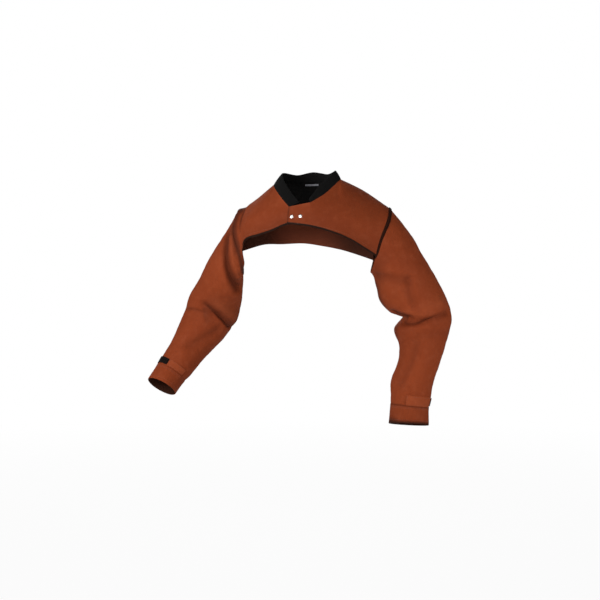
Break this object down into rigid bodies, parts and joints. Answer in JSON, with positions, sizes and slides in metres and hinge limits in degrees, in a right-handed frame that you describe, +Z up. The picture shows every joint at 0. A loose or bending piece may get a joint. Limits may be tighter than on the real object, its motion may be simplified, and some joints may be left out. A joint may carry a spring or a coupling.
{
  "type": "welding cape sleeves",
  "caption": "Leather welding cape sleeves: full-length sleeves joined by a short yoke, with a black stand-up collar, press-stud front, bound armholes and strapped wrists.",
  "frame": {"origin": "middle of the neck, at the height where the yoke rests on the wearer's shoulders", "axes": "+X to the wearer's left, +Y to the wearer's back, +Z up"},
  "size_m": [0.8803, 0.2728, 0.71],
  "materials": {
    "leather": "matt split leather, rust brown, creased",
    "black_cloth": "matt black woven cloth",
    "binding": "matt black-brown binding",
    "label": "pale grey woven, blank",
    "nickel": "bright nickel"
  },
  "bodies": {
    "root": {"sleeve_front_left": "leather", "sleeve_back_left": "leather", "sleeve_front_right": "leather", "sleeve_back_right": "leather", "cuff_left": "leather", "cuff_right": "leather", "wrist_strap_left": "leather", "wrist_strap_right": "leather", "strap_tape_left": "black_cloth", "strap_tape_right": "black_cloth", "front_left": "leather", "front_right": "leather", "back": "leather", "neck_facing": "black_cloth", "armhole_binding_left": "binding", "armhole_binding_right": "binding", "collar": "black_cloth", "neck_label": "label", "snap_inner": "nickel", "snap_outer": "nickel"}
  },
  "joints": []
}
